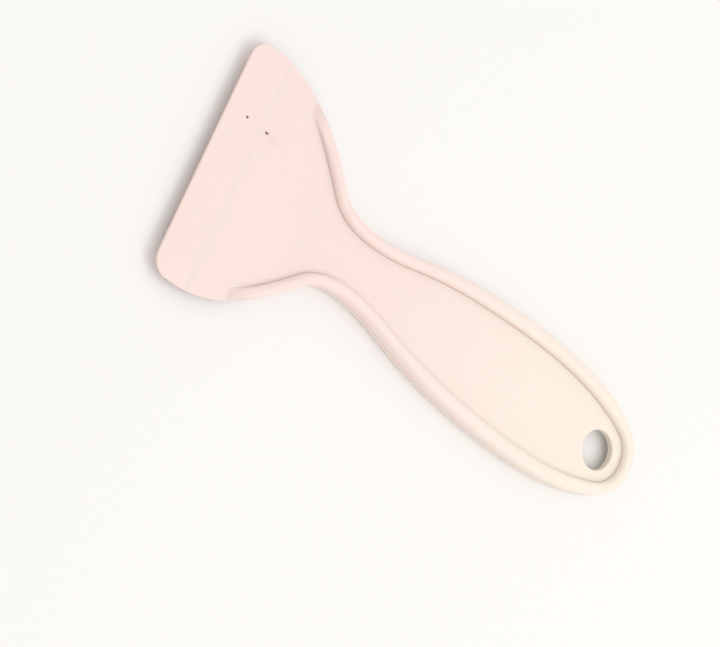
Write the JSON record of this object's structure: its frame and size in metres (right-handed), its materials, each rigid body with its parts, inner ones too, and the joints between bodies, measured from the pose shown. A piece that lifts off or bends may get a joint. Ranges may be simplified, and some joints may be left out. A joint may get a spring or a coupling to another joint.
{
  "type": "flexible putty knife",
  "caption": "One-piece moulded plastic putty knife: wide thin flexible blade with a straight edge, narrow neck, flat handle edged by a raised bead, and a hanging hole.",
  "frame": {"origin": "under the middle of the knife's length and width, on the surface that it lies on, level with the underside of the bead", "axes": "+X along the handle towards the working edge, +Z out of the top face, +Y to the left seen from the handle"},
  "size_m": [0.188, 0.076, 0.007],
  "materials": {
    "moulded_plastic": "fine matt moulded surface, pale warm pink to cream, slightly translucent"
  },
  "bodies": {
    "handle": {"handle_rim": "moulded_plastic", "handle_web": "moulded_plastic", "left_shoulder_bead": "moulded_plastic", "right_shoulder_bead": "moulded_plastic", "neck_web": "moulded_plastic", "blade_root": "moulded_plastic"},
    "blade_middle_body": {"blade_middle": "moulded_plastic"},
    "blade_edge_body": {"blade_edge": "moulded_plastic"}
  },
  "joints": [
    {"name": "blade_flex_root", "type": "hinge", "parent": "handle", "child": "blade_middle_body", "pos_m": [0.0735, 0, 0.0035], "axis": [0, 1, 0], "range_deg": [-10, 10], "stiffness_Nm_per_rad": 2.8},
    {"name": "blade_flex_edge", "type": "hinge", "parent": "blade_middle_body", "child": "blade_edge_body", "pos_m": [0.086, 0, 0.0035], "axis": [0, 1, 0], "range_deg": [-8.5, 8.5], "stiffness_Nm_per_rad": 1.3}
  ]
}
